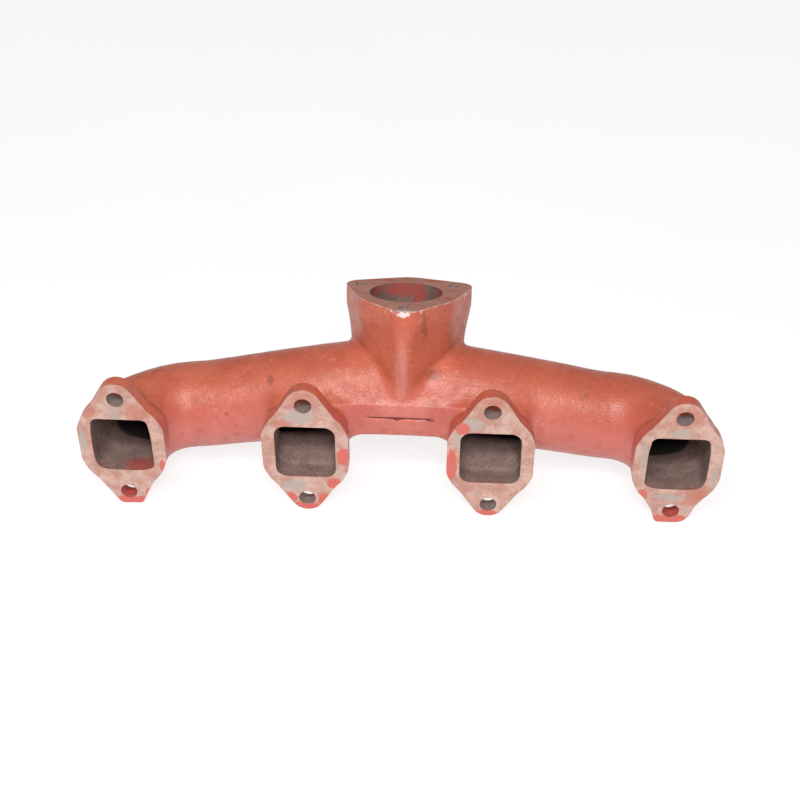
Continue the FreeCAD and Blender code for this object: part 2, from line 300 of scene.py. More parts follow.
def tube(x, y, z, wall):
    """The log with an elbow at each end: circular along the log, squarer at the end ports."""
    ax = np.abs(x)
    side = np.where(x < 0, -1, 1)
    turn = np.clip(np.arctan2(y - ELBOW_CENTRE_Y, ax - LOG_END_X), 0, math.pi / 2)
    in_log = ax <= LOG_END_X
    in_bend = (ax > LOG_END_X) & (y >= ELBOW_CENTRE_Y)
    share = np.where(in_log, 1.0, np.where(in_bend, turn / (math.pi / 2), 0.0))
    from_bend = np.hypot(ax - LOG_END_X, y - ELBOW_CENTRE_Y) - ELBOW_RADIUS
    across = np.where(in_log, y - LOG_Y, np.where(in_bend, from_bend, ax - END_PORT_X))
    run = np.where(in_log, ELBOW_RUN + LOG_END_X - ax, ELBOW_RUN * share)
    centre_z = np.where(side < 0, centre_height(run, -1), centre_height(run, 1))
    growth = 1 - (1 - share) ** 2
    middle = np.clip((LOG_END_X - ax) / (LOG_END_X - CREST_HALF_LENGTH), 0, 1)
    end_radius = LOG_END_RADIUS + (LOG_CENTRE_RADIUS - LOG_END_RADIUS) * middle
    half_w = DUCT_HALF_WIDTH + (end_radius - DUCT_HALF_WIDTH) * growth - wall
    half_h = DUCT_HALF_HEIGHT + (end_radius - DUCT_HALF_HEIGHT) * growth - wall
    power = ROUND_POWER + (PORT_POWER - ROUND_POWER) * (1 - share) ** 3
    tilt = np.cos(np.arctan(MEAN_LOG_SLOPE * np.clip(ax / CREST_HALF_LENGTH, 0, 1) * share))
    up = (z - centre_z) * tilt
    shapes = [np.asarray(value, np.float32) for value in (across, half_w, half_h, power)]
    return superellipse(shapes[0], up.astype(np.float32), *shapes[1:])


def middle_branches(x, y, z, wall):
    """Ducts from the middle ports, rising and rounding off on the way into the log."""
    ax = np.abs(x)
    ease = np.interp(y, [FLANGE_THICKNESS, 24.0, 36.0, LOG_Y], [0.0, 0.35, 0.8, 1.0])
    top = np.where(x < 0, log_centre(MIDDLE_PORT_X, -1), log_centre(MIDDLE_PORT_X, 1))
    centre_z = PORT_CENTRE_Z + (top - PORT_CENTRE_Z) * ease
    half_w = DUCT_HALF_WIDTH - wall
    half_h = DUCT_HALF_HEIGHT - BRANCH_PINCH * ease - wall
    power = PORT_POWER + (BRANCH_POWER - PORT_POWER) * ease
    duct = superellipse(ax - MIDDLE_PORT_X, z - centre_z, half_w, half_h, power)
    return np.maximum(duct, y - LOG_Y - 2)


def value_noise(x, y, z, size, seed):
    """Smooth random lumps of about the given size, from -1 to 1."""
    rng = np.random.default_rng(seed)
    cells = 32
    lattice = rng.uniform(-1, 1, (cells, cells, cells)).astype(np.float32)

    def split(values):
        scaled = values / size
        whole = np.floor(scaled)
        part = (scaled - whole).astype(np.float32)
        return whole.astype(int), part * part * (3 - 2 * part)

    (ix, fx), (iy, fy), (iz, fz) = split(x), split(y), split(z)
    total = 0.0
    for cx, cy, cz in CORNERS:
        weight = (fx if cx else 1 - fx) * (fy if cy else 1 - fy) * (fz if cz else 1 - fz)
        total = total + weight * lattice[(ix + cx) % cells, (iy + cy) % cells, (iz + cz) % cells]
    return total


def grid_axes():
    counts = np.ceil((GRID_HIGH - GRID_LOW) / CELL).astype(int) + 1
    return [GRID_LOW[axis] + CELL * np.arange(counts[axis]) for axis in range(3)]


AXES = grid_axes()


def window(x_range, y_range, z_range):
    """Grid slices and broadcast coordinates for a part of the grid."""
    slices = []
    coordinates = []
    for axis, (low, high) in enumerate((x_range, y_range, z_range)):
        first = int(np.searchsorted(AXES[axis], low))
        last = int(np.searchsorted(AXES[axis], high))
        slices.append(slice(first, last))
        shape = [1, 1, 1]
        shape[axis] = last - first
        coordinates.append(AXES[axis][first:last].reshape(shape))
    return tuple(slices), coordinates


def whole_grid():
    """Broadcast coordinates of every grid point."""
    return window(*zip(GRID_LOW - 1, GRID_HIGH + 9))[1]


def outlet_coordinates(y, z):
    """Distance towards the back of the outlet face, and height above it."""
    dy = y - OUTLET_CENTRE[1]
    dz = z - OUTLET_CENTRE[2]
    return dy * OUTLET_BACK[1] + dz * OUTLET_BACK[2], dy * OUTLET_UP[1] + dz * OUTLET_UP[2]


def neck_and_flange(x, y, z):
    """The neck's outline changes steadily from its foot in the log to the outlet flange."""
    back, above = outlet_coordinates(y, z)
    top_centre = OUTLET_CENTRE - OUTLET_UP * OUTLET_FLANGE_THICKNESS
    foot_height = z - NECK_FOOT_Z
    top_depth = -above - OUTLET_FLANGE_THICKNESS
    share = np.clip(foot_height / np.maximum(foot_height + top_depth, 1.0), 0, 1)
    centre_y = LOG_Y + (top_centre[1] - LOG_Y) * share
    u = x - OUTLET_CENTRE[0]
    v = (y - centre_y) / np.cos(OUTLET_TILT * share)
    foot = outline_distance(rounded_outline(neck_foot_corners()), u, v)
    top = outline_distance(rounded_outline(outlet_corners()), u, v)
    neck = (foot * (1 - share) + top * share) * NECK_LEAN
    neck = np.maximum(neck, NECK_FOOT_Z - 2 - z)
    neck = np.maximum(neck, -top_depth - 1)
    plate = outline_distance(rounded_outline(outlet_corners()), u, back)
    plate = round_both(plate, -above - OUTLET_FLANGE_THICKNESS, 1.5)
    return np.maximum(np.minimum(neck, plate), above - 3)


def solid_fields():
    """The outside of the casting and the space inside it, both as signed distances."""
    x, y, z = whole_grid()
    outside = tube(x, y, z, 0.0)
    inside = tube(x, y, z, LOG_WALL)

    def add(field, where, shape, reach):
        field[where] = blend_union(field[where], shape.astype(np.float32), reach)

    for side in (-1, 1):
        span = sorted([side * 20.0, side * 98.0])
        where, (x, y, z) = window(span, (-10, 60), (-40, 60))
        add(outside, where, middle_branches(x, y, z, 0.0), BRANCH_FILLET)
        add(inside, where, middle_branches(x, y, z, WALL), BRANCH_INNER_FILLET)

    where, (x, y, z) = window((-60, 60), (10, 60), (-30, 50))
    web = np.maximum(np.abs(x) - WEB_HALF_LENGTH, WEB_FRONT_Y - y)
    web = np.maximum(web, np.maximum(WEB_LOW_Z - z, z - WEB_HIGH_Z))
    add(outside, where, web, WEB_FILLET)

    where, (x, y, z) = window((-55, 58), (8, 108), (8, 98))
    add(outside, where, neck_and_flange(x, y, z), NECK_FILLET)

    for number, centre in enumerate(PORT_X, 1):
        where, (x, y, z) = window((centre - 34, centre + 34), (-10, 30), (-60, 60))
        plate = outline_distance(rounded_outline(flange_corners(number)), x - centre, z)
        plate = round_both(plate, y - FLANGE_THICKNESS, FLANGE_EDGE_RADIUS)
        add(outside, where, plate, FLANGE_FILLET)
        mouth = outline_distance(rounded_outline(opening_corners(number)), x - centre, z)
        mouth = np.maximum(mouth, y - FLANGE_THICKNESS - 2)
        inside[where] = np.minimum(inside[where], mouth)

    where, (x, y, z) = window((-40, 44), (20, 108), (5, 98))
    back = outlet_coordinates(y, z)[0]
    bore = np.hypot(x - OUTLET_CENTRE[0], back) - OUTLET_BORE_RADIUS
    add(inside, where, np.maximum(bore, LOG_TOP_Z - z), BORE_FILLET)
    return outside, inside


def surface_lumps(outside):
    """Sand-cast unevenness: only ever takes metal away, so the casting keeps its size."""
    x, y, z = whole_grid()
    broad = value_noise(x, y, z, size=17.0, seed=11)
    fine = value_noise(x, y, z, size=6.0, seed=12)
    outside += 0.22 + 0.16 * broad + 0.07 * fine


def lip_above_fin(outside):
    """Above the fin the casting stands proud of the web, and below it there is a shallow groove."""
    where, (x, _, z) = window((-40, 42), (10, 45), (8, 34))
    along = np.clip((FIN_HALF_LENGTH - np.abs(x - FIN_CENTRE_X)) / 2.5, 0, 1)
    lip = np.clip((z - LIP_LOW_Z) / 0.9, 0, 1) * np.clip((LIP_HIGH_Z - z) / 8.0, 0, 1)
    groove = np.exp(-((z - GROOVE_Z) ** 2))
    outside[where] += (along * (GROOVE_DEPTH * groove - LIP_HEIGHT * lip)).astype(np.float32)


def carve_marks(outside):
    """Pits in the casting, each (x, y, z, radius, depth)."""
    marks = [
        (-29.0, 23.0, 8.0, 1.8, 0.9), (-118.0, 24.0, 14.0, 1.6, 0.6), (-131.0, 26.5, 8.0, 1.4, 0.5),
        (12.0, 21.5, 24.0, 1.6, 0.5), (20.0, 21.0, 16.0, 1.5, 0.5), (109.0, 26.0, -7.0, 1.3, 0.6),
        (88.0, 31.0, 33.0, 1.5, 0.4), (-80.0, 32.0, 30.0, 1.5, 0.4), (140.0, 28.0, 14.0, 1.4, 0.4),
        (-20.0, 27.0, 48.0, 1.6, 0.4), (14.0, 25.0, 52.0, 1.5, 0.4),
    ]
    for cx, cy, cz, radius, depth in marks:
        reach = radius * 3
        where, (x, y, z) = window(*[(centre - reach, centre + reach) for centre in (cx, cy, cz)])
        distance = (x - cx) ** 2 + (y - cy) ** 2 + (z - cz) ** 2
        outside[where] += (depth * np.exp(-distance / (radius * radius))).astype(np.float32)


def cut_holes(solid):
    """Bolt holes through the port flanges, and blind holes in the outlet flange."""
    for centre in PORT_X:
        for height in (-BOLT_HEIGHT, BOLT_HEIGHT):
            where, (x, y, z) = window((centre - 12, centre + 12), (-10, 22), (height - 12, height + 12))
            hole = np.hypot(x - centre, z - height) - BOLT_HOLE_RADIUS
            solid[where] = np.maximum(solid[where], -hole)
    for u, v in stud_places():
        middle = OUTLET_CENTRE + np.array([u, 0, 0]) + OUTLET_BACK * v
        where, (x, y, z) = window(*[(middle[axis] - 24, middle[axis] + 16) for axis in range(3)])
        back, above = outlet_coordinates(y, z)
        hole = np.hypot(x - OUTLET_CENTRE[0] - u, back - v) - TAP_RADIUS
        hole = np.maximum(hole, -above - TAP_DEPTH)
        solid[where] = np.maximum(solid[where], -hole)


# ------------------------ surface from the field


def sample(field, points):
    """Field values at points in millimetres, linear between grid points."""
    scaled = (points - GRID_LOW) / CELL
    limit = np.array(field.shape) - 2
    whole = np.clip(np.floor(scaled).astype(int), 0, limit)
    part = np.clip(scaled - whole, 0, 1)
    total = np.zeros(len(points))
    for corner in CORNERS:
        weight = np.where(corner, part, 1 - part).prod(axis=1)
        total += weight * field[tuple((whole + corner).T)]
    return total


def slope(field, points):
    reach = 0.6 * CELL
    parts = []
    for axis in range(3):
        step = np.zeros(3)
        step[axis] = reach
        parts.append((sample(field, points + step) - sample(field, points - step)) / (2 * reach))
    return np.stack(parts, axis=1)


def surface_net(field):
    """One vertex in each cell that the surface crosses, one quad across each crossed edge."""
    inside = field < 0
    nx, ny, nz = field.shape
    count = np.zeros((nx - 1, ny - 1, nz - 1), np.uint8)
    for a, b, c in CORNERS:
        count += inside[a:nx - 1 + a, b:ny - 1 + b, c:nz - 1 + c]
    cells = np.argwhere((count > 0) & (count < 8))
    index = np.full(count.shape, -1, np.int64)
    index[tuple(cells.T)] = np.arange(len(cells))
    total = np.zeros((len(cells), 3))
    hits = np.zeros(len(cells))
    for start in CORNERS:
        for axis in range(3):
            if start[axis]:
                continue
            end = list(start)
            end[axis] = 1
            low = field[tuple((cells + start).T)]
            high = field[tuple((cells + end).T)]
            crossed = (low < 0) != (high < 0)
            share = np.where(crossed, low / np.where(crossed, low - high, 1), 0)
            for other in range(3):
                place = share if other == axis else start[other]
                total[:, other] += np.where(crossed, place, 0)
            hits += crossed
    points = GRID_LOW + CELL * (cells + total / hits[:, None])
    quads = []
    for axis in range(3):
        one, two = (axis + 1) % 3, (axis + 2) % 3
        shape = np.array(field.shape)
        low = [slice(None)] * 3
        high = [slice(None)] * 3
        low[axis] = slice(0, -1)
        high[axis] = slice(1, None)
        change = inside[tuple(low)].astype(np.int8) - inside[tuple(high)].astype(np.int8)
        edges = np.argwhere(change != 0)
        keep = (edges[:, one] > 0) & (edges[:, two] > 0)
        keep &= (edges[:, one] < shape[one] - 1) & (edges[:, two] < shape[two] - 1)
        edges = edges[keep]
        ring = []
        for step_one, step_two in ((-1, -1), (0, -1), (0, 0), (-1, 0)):
            cell = edges.copy()
            cell[:, one] += step_one
            cell[:, two] += step_two
            ring.append(index[tuple(cell.T)])
        ring = np.stack(ring, axis=1)
        falling = change[tuple(edges.T)] < 0
        ring[falling] = ring[falling][:, ::-1]
        quads.append(ring)
    return points, np.concatenate(quads)


def settle(points, field):
    """Moves the points onto the surface itself."""
    for _ in range(2):
        gradient = slope(field, points)
        size = np.maximum((gradient ** 2).sum(axis=1), 0.2)
        move = gradient * (sample(field, points) / size)[:, None]
        points = points - np.clip(move, -0.5, 0.5)
    return points


# ------------------------ cutting into closed pieces


# What a face of a cut piece is: the casting's own surface, or one of three flat cuts
FLAT_HIDDEN = 1
FLAT_PORT = 2
FLAT_OUTLET = 3

# Material slots, in the order of MATERIALS
PAINT_SLOT, PASSAGE_SLOT, HOLE_SLOT, PORT_SLOT, OUTLET_SLOT = range(5)

# A face is inside a hole if it is this near the hole's wall and this far below the skin
BOLT_HOLE_REACH = BOLT_HOLE_RADIUS + 0.25
BOLT_HOLE_DEPTH = 16.0
TAP_REACH = TAP_RADIUS + 0.3
SKIN = 0.5


def cut_once(source, point, normal, keep_front, kind=FLAT_HIDDEN):
    """A copy of the mesh on one side of a plane, closed with a flat face."""
    part = source.copy()
    geometry = part.verts[:] + part.edges[:] + part.faces[:]
    result = bmesh.ops.bisect_plane(
        part, geom=geometry, dist=1e-5, plane_co=point, plane_no=normal,
        clear_inner=keep_front, clear_outer=not keep_front,
    )
    edges = [item for item in result["geom_cut"] if isinstance(item, bmesh.types.BMEdge)]
    edges = [edge for edge in edges if edge.is_boundary]
    if edges:
        outward = Vector(normal) * (-1 if keep_front else 1)
        filled = bmesh.ops.triangle_fill(
            part, use_beauty=True, use_dissolve=False, edges=edges, normal=outward
        )
        flat = part.faces.layers.int["flat"]
        for face in filled["geom"]:
            if isinstance(face, bmesh.types.BMFace):
                face[flat] = kind
                if face.normal.dot(outward) < 0:
                    face.normal_flip()
    return part


def whole_casting():
    outside, inside = solid_fields()
    surface_lumps(outside)
    lip_above_fin(outside)
    carve_marks(outside)
    solid = np.maximum(outside, -inside)
    cut_holes(solid)
    points, quads = surface_net(solid)
    points = settle(points, solid)
    normals = slope(solid, points)
    normals /= np.maximum(np.linalg.norm(normals, axis=1), 1e-6)[:, None]
    return points, quads, normals, outside, inside


def casting_mesh(points, quads, normals):
    mesh = bpy.data.meshes.new("casting")
    mesh.vertices.add(len(points))
    mesh.vertices.foreach_set("co", points.astype(np.float32).ravel())
    mesh.loops.add(quads.size)
    mesh.loops.foreach_set("vertex_index", quads.astype(np.int32).ravel())
    mesh.polygons.add(len(quads))
    mesh.polygons.foreach_set("loop_start", np.arange(0, quads.size, 4, dtype=np.int32))
    mesh.polygons.foreach_set("loop_total", np.full(len(quads), 4, np.int32))
    mesh.update(calc_edges=True)
    layer = mesh.attributes.new("surface_normal", "FLOAT_VECTOR", "POINT")
    layer.data.foreach_set("vector", normals.astype(np.float32).ravel())
    flat = mesh.attributes.new("flat", "INT", "FACE")
    flat.data.foreach_set("value", np.zeros(len(quads), np.int32))
    return mesh


def add_object(name, data):
    thing = bpy.data.objects.new(name, data)
    bpy.context.collection.objects.link(thing)
    return thing


def read_rows(items, name, width=1, kind=np.float32):
    """One value, or one vector of the given width, for each item of a mesh's list."""
    values = np.zeros(len(items) * width, kind)
    items.foreach_get(name, values)
    return values.reshape(-1, width) if width > 1 else values


def material_slots(centres, flat):
    """The slot of each face, from where the face is and what kind of cut it lies on."""
    outer = np.abs(sample(OUTSIDE, centres))
    inner = np.abs(sample(INSIDE, centres))
    slots = np.full(len(centres), PAINT_SLOT, np.int32)
    slots[inner < outer] = PASSAGE_SLOT
    in_hole = np.zeros(len(centres), bool)
    for x in PORT_X:
        for z in (-BOLT_HEIGHT, BOLT_HEIGHT):
            reach = np.hypot(centres[:, 0] - x, centres[:, 2] - z)
            in_hole |= (reach < BOLT_HOLE_REACH) & (centres[:, 1] < BOLT_HOLE_DEPTH) & (outer > SKIN)
    back = (centres - OUTLET_CENTRE) @ OUTLET_BACK
    above = (centres - OUTLET_CENTRE) @ OUTLET_UP
    for u, v in stud_places():
        reach = np.hypot(centres[:, 0] - OUTLET_CENTRE[0] - u, back - v)
        in_hole |= (reach < TAP_REACH) & (above > -TAP_DEPTH - SKIN) & (outer > SKIN)
    slots[in_hole] = HOLE_SLOT
    slots[flat == FLAT_PORT] = PORT_SLOT
    slots[flat == FLAT_OUTLET] = OUTLET_SLOT
    slots[flat == FLAT_HIDDEN] = PAINT_SLOT
    return slots


def in_metres(part, name):
    """Turns a cut piece into an object, with the casting's own smooth normals."""
    mesh = bpy.data.meshes.new(name)
    part.to_mesh(mesh)
    part.free()
    points = read_rows(mesh.vertices, "co", 3)
    smooth = read_rows(mesh.attributes["surface_normal"].data, "vector", 3)
    flat = read_rows(mesh.attributes["flat"].data, "value", kind=np.int32)
    loops = read_rows(mesh.loops, "vertex_index", kind=np.int32)
    totals = read_rows(mesh.polygons, "loop_total", kind=np.int32)
    face_normals = read_rows(mesh.polygons, "normal", 3)
    slots = material_slots(read_rows(mesh.polygons, "center", 3), flat)
    mesh.polygons.foreach_set("material_index", slots)
    mesh.polygons.foreach_set("use_smooth", np.ones(len(flat), bool))

    # A corner takes its face's own normal where the smooth one was lost or points elsewhere
    corner_normals = smooth[loops]
    corner_face = np.repeat(np.arange(len(flat)), totals)
    across = face_normals[corner_face]
    lost = np.linalg.norm(corner_normals, axis=1) < 0.3
    is_flat = (flat[corner_face] > 0) | lost | ((corner_normals * across).sum(axis=1) < 0.35)
    corner_normals = np.where(is_flat[:, None], across, corner_normals)
    corner_normals /= np.maximum(np.linalg.norm(corner_normals, axis=1), 1e-6)[:, None]

    low = np.array(CAD_BOX[0]) * 1000
    high = np.array(CAD_BOX[1]) * 1000
    points = np.clip(points, low, high) / 1000
    mesh.vertices.foreach_set("co", points.ravel())
    mesh.attributes.remove(mesh.attributes["surface_normal"])
    mesh.attributes.remove(mesh.attributes["flat"])
    mesh.update()
    mesh.normals_split_custom_set(corner_normals)
    return add_object(name, mesh)


POINTS, QUADS, NORMALS, OUTSIDE, INSIDE = whole_casting()


def cut_into_pieces():
    """The casting, machined on two planes and divided into closed pieces, one for each node."""
    whole = bmesh.new()
    whole.from_mesh(casting_mesh(POINTS, QUADS, NORMALS))
    machined = cut_once(whole, (0, 0, 0), (0, 1, 0), True, FLAT_PORT)
    whole.free()
    casting = cut_once(machined, OUTLET_CENTRE, OUTLET_UP, False, FLAT_OUTLET)
    machined.free()

    def halves(part, point, normal):
        front = cut_once(part, point, normal, True)
        behind = cut_once(part, point, normal, False)
        part.free()
        return front, behind

    pieces = {}
    underside = OUTLET_CENTRE - OUTLET_UP * OUTLET_FLANGE_THICKNESS
    pieces["outlet_flange"], casting = halves(casting, underside, OUTLET_UP)
    pieces["outlet_neck"], casting = halves(casting, (0, 0, NECK_CUT_Z), (0, 0, 1))
    casting, flanges = halves(casting, (0, FLANGE_CUT_Y, 0), (0, 1, 0))
    right, left = halves(flanges, (0, 0, 0), (1, 0, 0))
    pieces["port_flange_4"], pieces["port_flange_3"] = halves(right, (FLANGE_CUT_X, 0, 0), (1, 0, 0))
    pieces["port_flange_2"], pieces["port_flange_1"] = halves(left, (-FLANGE_CUT_X, 0, 0), (1, 0, 0))
    for side, elbow, runner, branch in (
        (-1, "end_elbow_1", "runner_1_2", "branch_2"),
        (1, "end_elbow_4", "runner_3_4", "branch_3"),
    ):
        outward = Vector((side, 0, 0))
        tilt = math.atan(LOG_SLOPES[side])
        along_log = Vector((side * math.cos(tilt), 0, -math.sin(tilt)))
        end = (side * LOG_END_X, LOG_Y, log_centre(LOG_END_X, side))
        arm, casting = halves(casting, (side * COLLECTOR_HALF_LENGTH, 0, 0), outward)
        arm, pieces[branch] = halves(arm, (side * BRANCH_END_X, 0, 0), outward)
        pieces[elbow], pieces[runner] = halves(arm, end, along_log)
    pieces["collector"] = casting
    return pieces


# ------------------------ materials


class Nodes:
    """A few short calls for building a material. Colours are linear."""

    def __init__(self, name):
        self.material = bpy.data.materials.new(name)
        self.material.use_nodes = True
        self.tree = self.material.node_tree
        self.tree.nodes.clear()
        self.output = self.tree.nodes.new("ShaderNodeOutputMaterial")
        self.shader = self.tree.nodes.new("ShaderNodeBsdfPrincipled")
        self.tree.links.new(self.shader.outputs[0], self.output.inputs["Surface"])
        place = self.tree.nodes.new("ShaderNodeTexCoord")
        self.place = self.vector("MULTIPLY", place.outputs["Object"], (1000, 1000, 1000))
        apart = self.tree.nodes.new("ShaderNodeSeparateXYZ")
        self.link(self.place, apart.inputs[0])
        self.x, self.y, self.z = apart.outputs

    def link(self, value, socket):
        if isinstance(value, bpy.types.NodeSocket):
            self.tree.links.new(value, socket)
        else:
            socket.default_value = value

    def vector(self, operation, first, second):
        node = self.tree.nodes.new("ShaderNodeVectorMath")
        node.operation = operation
        self.link(first, node.inputs[0])
        self.link(second, node.inputs[1])
        return node.outputs["Value"] if operation in ("DISTANCE", "DOT_PRODUCT") else node.outputs[0]

    def math(self, operation, first, second=0.0, third=0.0):
        node = self.tree.nodes.new("ShaderNodeMath")
        node.operation = operation
        for socket, value in zip(node.inputs, (first, second, third)):
            self.link(value, socket)
        return node.outputs[0]

    def noise(self, scale, detail=3.0, roughness=0.55, stretch=None, shift=(0, 0, 0)):
        """Noise from 0 to 1, scale in lumps per millimetre."""
        node = self.tree.nodes.new("ShaderNodeTexNoise")
        place = self.place
        if stretch:
            place = self.vector("MULTIPLY", place, stretch)
        place = self.vector("ADD", place, shift)
        self.link(place, node.inputs["Vector"])
        node.inputs["Scale"].default_value = scale
        node.inputs["Detail"].default_value = detail
        node.inputs["Roughness"].default_value = roughness
        return node.outputs[0]

    def ramp(self, value, low, high):
        """0 at low to 1 at high."""
        node = self.tree.nodes.new("ShaderNodeMapRange")
        node.interpolation_type = "SMOOTHSTEP"
        self.link(value, node.inputs["Value"])
        if high < low:
            low, high = high, low
            node.inputs["To Min"].default_value = 1.0
            node.inputs["To Max"].default_value = 0.0
        node.inputs["From Min"].default_value = low
        node.inputs["From Max"].default_value = high
        return node.outputs[0]

    def mix(self, share, first, second):
        node = self.tree.nodes.new("ShaderNodeMix")
        node.data_type = "RGBA"
        self.link(share, node.inputs["Factor"])
        self.link(first, node.inputs[6])
        self.link(second, node.inputs[7])
        return node.outputs[2]

    def mix_value(self, share, first, second):
        node = self.tree.nodes.new("ShaderNodeMix")
        self.link(share, node.inputs["Factor"])
        self.link(first, node.inputs[2])
        self.link(second, node.inputs[3])
        return node.outputs[0]

    def spots(self, places, ragged=0.5, grain=0.35, soft=0.12):
        """1 inside any of some ragged ellipsoids, each (centre, half sizes)."""
        wobble = self.math("MULTIPLY_ADD", self.noise(grain, 3.0, 0.6), ragged * 2, -ragged)
        total = None
        for centre, sizes in places:
            shrink = tuple(1 / size for size in sizes)
            local = self.vector("MULTIPLY", self.vector("SUBTRACT", self.place, centre), shrink)
            reach = self.vector("DISTANCE", local, (0, 0, 0))
            mask = self.ramp(self.math("ADD", reach, wobble), 1.0 + soft, 1.0 - soft)
            total = mask if total is None else self.math("MAXIMUM", total, mask)
        return total

    def facing_up(self):
        """1 where the surface faces up, 0 where it is upright."""
        node = self.tree.nodes.new("ShaderNodeNewGeometry")
        apart = self.tree.nodes.new("ShaderNodeSeparateXYZ")
        self.link(node.outputs["Normal"], apart.inputs[0])
        return self.ramp(apart.outputs[2], 0.05, 0.95)

    def both(self, first, second):
        return self.math("MULTIPLY", first, second)

    def over(self, colour, mask, share, display):
        """A display colour laid over another, where the mask is 1 and as strongly as the share."""
        return self.mix(self.both(mask, share), colour, linear(*display))

    def bump(self, height, distance, strength=1.0, before=None):
        node = self.tree.nodes.new("ShaderNodeBump")
        self.link(height, node.inputs["Height"])
        node.inputs["Distance"].default_value = distance / 1000
        node.inputs["Strength"].default_value = strength
        if before is not None:
            self.link(before, node.inputs["Normal"])
        return node.outputs[0]

    def finish(self, colour, roughness, normal=None, metallic=None):
        self.link(colour, self.shader.inputs["Base Color"])
        self.link(roughness, self.shader.inputs["Roughness"])
        if metallic is not None:
            self.link(metallic, self.shader.inputs["Metallic"])
        if normal is not None:
            self.link(normal, self.shader.inputs["Normal"])
        return self.material


def linear(red, green, blue):
    """A colour given as display values from 0 to 255."""
    parts = []
    for value in (red, green, blue):
        share = value / 255
        parts.append(share / 12.92 if share < 0.04045 else ((share + 0.055) / 1.055) ** 2.4)
    return (*parts, 1.0)


def above_outlet(nodes):
    """Height above the outlet's machined face."""
    local = nodes.vector("SUBTRACT", nodes.place, tuple(OUTLET_CENTRE))
    return nodes.vector("DOT_PRODUCT", local, tuple(OUTLET_UP))


def painted_casting():
    m = Nodes("painted_casting")
    broad = m.noise(0.035, 4.0, 0.6)
    middle = m.noise(0.16, 4.0, 0.6, shift=(31, 7, 3))
    fine = m.noise(1.1, 4.0, 0.65)
    sand = m.noise(0.75, 2.0, 0.5, shift=(5, 50, 9))
    # Painted reflection: upright and lower surfaces take a pinker, paler paint that stands in for light
    # reflected from the white floor and for the front sheen; surfaces facing up or standing high keep
    # the orange paint.
    tops_without_painted_sheen = m.math("MAXIMUM", m.facing_up(), m.ramp(m.z, 22.0, 44.0))
    dark_paint_with_sheen = m.mix(tops_without_painted_sheen, linear(184, 92, 82), linear(176, 84, 62))
    light_paint_with_sheen = m.mix(tops_without_painted_sheen, linear(194, 106, 94), linear(190, 98, 73))
    colour = m.mix(m.ramp(broad, 0.35, 0.68), dark_paint_with_sheen, light_paint_with_sheen)
    colour = m.over(colour, m.ramp(middle, 0.52, 0.72), 0.55, (168, 74, 58))
    chalk = m.ramp(m.noise(0.30, 5.0, 0.7, shift=(3, 1, 70)), 0.56, 0.70)
    colour = m.over(colour, chalk, 0.50, (214, 128, 106))
    speck = m.ramp(m.noise(0.9, 2.0, 0.6, shift=(90, 2, 8)), 0.66, 0.74)
    colour = m.over(colour, speck, 0.55, (120, 52, 44))
    thin = m.ramp(m.noise(0.11, 4.0, 0.7, shift=(12, 40, 2)), 0.60, 0.70)
    colour = m.over(colour, thin, 0.45, (150, 96, 84))

    stains = m.spots(STAIN_PLACES, ragged=1.1, grain=0.45, soft=0.35)
    colour = m.over(colour, stains, 0.55, (118, 58, 46))
    # Painted highlight: pale patches on the neck ridge, the lip above the fin and the flange tops,
    # where the light falls brightest.
    pale = m.spots(PAINTED_HIGHLIGHT_PLACES, ragged=0.8, grain=0.45, soft=0.35)
    colour = m.over(colour, pale, 0.45, (200, 128, 114))

    near_ports = m.ramp(m.math("ADD", m.y, m.math("MULTIPLY", m.noise(0.5, 4.0, 0.7), 3.6)), 3.2, 2.0)
    near_outlet = m.ramp(
        m.math("SUBTRACT", above_outlet(m), m.math("MULTIPLY", m.noise(0.4, 4.0, 0.7), 3.6)), -2.6, -1.6
    )
    rim = m.math("MAXIMUM", near_ports, near_outlet)
    colour = m.over(colour, rim, 0.8, (212, 178, 166))
    rough = m.mix_value(m.ramp(middle, 0.35, 0.7), 0.34, 0.50)
    rough = m.mix_value(rim, rough, 0.42)
    # Painted shadow: a near-black line under the fin and its lip, standing for the shadow they cast,
    # laid along the crack of the parting line.
    crack_and_fin_shadow = m.spots(CRACK_AND_FIN_SHADOW_PLACES, ragged=0.5, grain=0.45, soft=0.2)
    colour = m.over(colour, crack_and_fin_shadow, 0.9, (58, 28, 26))
    tide = m.spots(TIDE_PLACES, ragged=0.5, grain=0.25, soft=0.35)
    colour = m.over(colour, tide, 0.55, (126, 60, 52))
    chips = m.spots(CHIP_PLACES, ragged=0.9, grain=0.5, soft=0.2)
    colour = m.over(colour, chips, 0.9, (214, 202, 198))
    normal = m.bump(sand, 0.36, 0.7)
    normal = m.bump(fine, 0.20, 0.8, before=normal)
    normal = m.bump(m.noise(0.22, 3.0, 0.5, shift=(1, 2, 3)), 0.7, 0.45, before=normal)
    return m.finish(colour, rough, normal)


